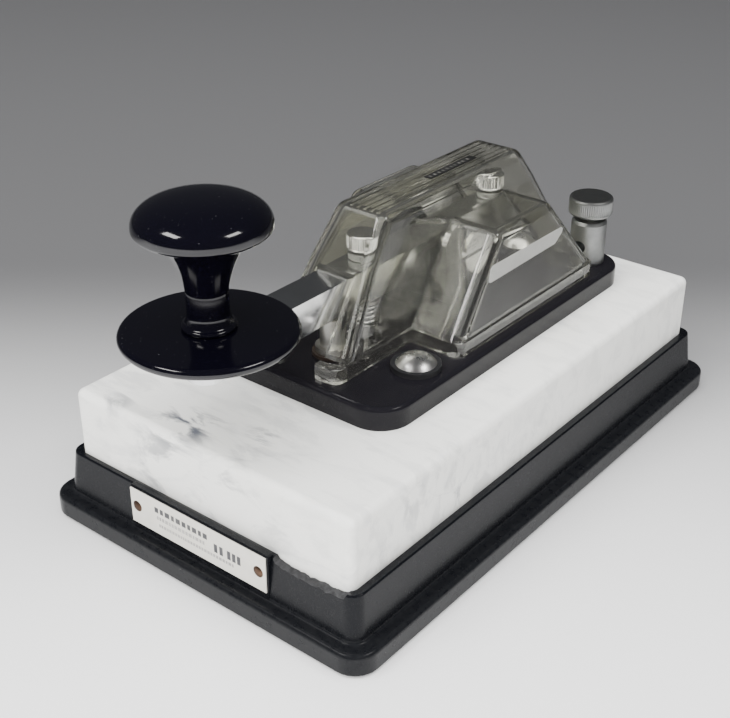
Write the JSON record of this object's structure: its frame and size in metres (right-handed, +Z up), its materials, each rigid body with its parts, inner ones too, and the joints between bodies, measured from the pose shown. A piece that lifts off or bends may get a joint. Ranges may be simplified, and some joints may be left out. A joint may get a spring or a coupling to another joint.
{
  "type": "telegraph key",
  "caption": "Straight telegraph key on a marble block in a moulded tray, with a round knob and skirt, a clear lift-off dust cover and screw terminals.",
  "frame": {"origin": "centre of the whole object's footprint, at the soles of the rubber feet", "axes": "+Z up; the lever lies along Y with the knob at -Y and the terminals at +Y; +X is to the operator's right when the knob faces the operator"},
  "size_m": [0.105, 0.1794, 0.0978],
  "materials": {
    "tray_black": "satin, dusty at the inside corners",
    "foot_rubber": "matt",
    "marble_white": "polished, soft grey veins",
    "plate_cream": "matt printed plate",
    "rivet_bronze": "tarnished",
    "sub_base_black": "semi-gloss moulding",
    "bolt_chrome": "polished",
    "washer_black": "matt fibre",
    "steel_plated": "zinc plated",
    "frame_black": "semi-gloss enamel",
    "bearing_steel": "ground",
    "lever_nickel": "satin nickel plate",
    "knob_black": "polished, faint navy tint",
    "contact_silver": "polished silver",
    "spring_steel": "bright",
    "strap_brass": "rolled",
    "terminal_nickel": "dull nickel plate",
    "insulator_brown": "fibre",
    "cover_clear": "clear moulded plastic, yellowed with age",
    "label_black": "embossed tape, plain marks"
  },
  "bodies": {
    "root": {"base_tray": "tray_black", "rubber_feet": "foot_rubber", "marble_block": "marble_white", "nameplate": "plate_cream", "nameplate_rivets": "rivet_bronze", "sub_base": "sub_base_black", "base_bolts": "bolt_chrome", "bolt_seat_washers": "washer_black", "base_bolt_washers": "steel_plated", "base_bolt_nuts": "steel_plated", "pivot_frame": "frame_black", "pivot_frame_screws": "steel_plated", "bearing_outer_rings": "bearing_steel", "bearing_caps": "terminal_nickel", "contact_insulator": "insulator_brown", "lower_contact": "terminal_nickel", "lower_contact_tip": "contact_silver", "contact_nut": "steel_plated", "spring_cup": "terminal_nickel", "return_spring": "spring_steel", "rear_stop": "terminal_nickel", "conductor_strap_left": "strap_brass", "conductor_strap_right": "strap_brass", "terminal_post_nuts": "steel_plated", "terminal_post_left": "terminal_nickel", "terminal_post_right": "terminal_nickel"},
    "lever": {"lever": "lever_nickel", "pivot_shaft": "bearing_steel", "pivot_spacers": "strap_brass", "bearing_inner_rings": "bearing_steel", "bearing_balls": "bearing_steel", "upper_contact": "contact_silver", "knob": "knob_black", "knob_skirt": "knob_black", "knob_stud": "steel_plated"},
    "tension_shank": {"tension_screw_shank": "lever_nickel", "spring_seat": "terminal_nickel"},
    "tension_head": {"tension_screw_head": "lever_nickel"},
    "tension_nut": {"tension_lock_nut": "lever_nickel"},
    "gap_shank": {"gap_screw_shank": "lever_nickel"},
    "gap_head": {"gap_screw_head": "lever_nickel"},
    "gap_nut": {"gap_lock_nut": "lever_nickel"},
    "clamp_shank_left": {"terminal_screw_shank_left": "terminal_nickel"},
    "clamp_head_left": {"terminal_screw_head_left": "terminal_nickel"},
    "clamp_shank_right": {"terminal_screw_shank_right": "terminal_nickel"},
    "clamp_head_right": {"terminal_screw_head_right": "terminal_nickel"},
    "cover": {"dust_cover": "cover_clear", "cover_label": "label_black"}
  },
  "joints": [
    {"name": "lever_rock", "type": "hinge", "parent": "root", "child": "lever", "pos_m": [0, 0.01625, 0.0592], "axis": [1, 0, 0], "range_deg": [0, 0.6], "stiffness_Nm_per_rad": 1.75, "springref_deg": -6.59, "deforming": ["return_spring"]},
    {"name": "tension_screw_travel", "type": "slide", "parent": "lever", "child": "tension_shank", "axis": [0, 0, 1], "range_m": [-0.0007, 0.0005], "deforming": ["return_spring"]},
    {"name": "tension_screw_turn", "type": "hinge", "parent": "tension_shank", "child": "tension_head", "pos_m": [0, -0.01495, 0.0712], "axis": [0, 0, 1], "range_deg": [-361, 258.14]},
    {"name": "gap_screw_travel", "type": "slide", "parent": "lever", "child": "gap_shank", "axis": [0, 0, 1], "range_m": [0, 0.0014]},
    {"name": "gap_screw_turn", "type": "hinge", "parent": "gap_shank", "child": "gap_head", "pos_m": [0, 0.04025, 0.0712], "axis": [0, 0, 1], "range_deg": [-1, 721]},
    {"name": "tension_nut_turn", "type": "hinge", "parent": "lever", "child": "tension_nut", "pos_m": [0, -0.01495, 0.0643], "axis": [0, 0, 1], "range_deg": [-90, 90]},
    {"name": "gap_nut_turn", "type": "hinge", "parent": "lever", "child": "gap_nut", "pos_m": [0, 0.04025, 0.0643], "axis": [0, 0, 1], "range_deg": [-90, 90]},
    {"name": "clamp_screw_left_travel", "type": "slide", "parent": "root", "child": "clamp_shank_left", "axis": [0, 0, 1], "range_m": [-0.0013, 0.0014]},
    {"name": "clamp_screw_left_turn", "type": "hinge", "parent": "clamp_shank_left", "child": "clamp_head_left", "pos_m": [-0.0213, 0.06245, 0.0627], "axis": [0, 0, 1], "range_deg": [-586, 631]},
    {"name": "clamp_screw_right_travel", "type": "slide", "parent": "root", "child": "clamp_shank_right", "axis": [0, 0, 1], "range_m": [-0.0013, 0.0014]},
    {"name": "clamp_screw_right_turn", "type": "hinge", "parent": "clamp_shank_right", "child": "clamp_head_right", "pos_m": [0.0213, 0.06245, 0.0627], "axis": [0, 0, 1], "range_deg": [-586, 631]},
    {"name": "cover_lift", "type": "slide", "parent": "root", "child": "cover", "axis": [0, 0, 1], "range_m": [0, 0.05]}
  ],
  "couplings": [
    {"joint": "tension_screw_turn", "follows": "tension_screw_travel", "rad_per_m": 8976},
    {"joint": "gap_screw_turn", "follows": "gap_screw_travel", "rad_per_m": 8976},
    {"joint": "clamp_screw_left_turn", "follows": "clamp_screw_left_travel", "rad_per_m": 7854},
    {"joint": "clamp_screw_right_turn", "follows": "clamp_screw_right_travel", "rad_per_m": 7854}
  ]
}
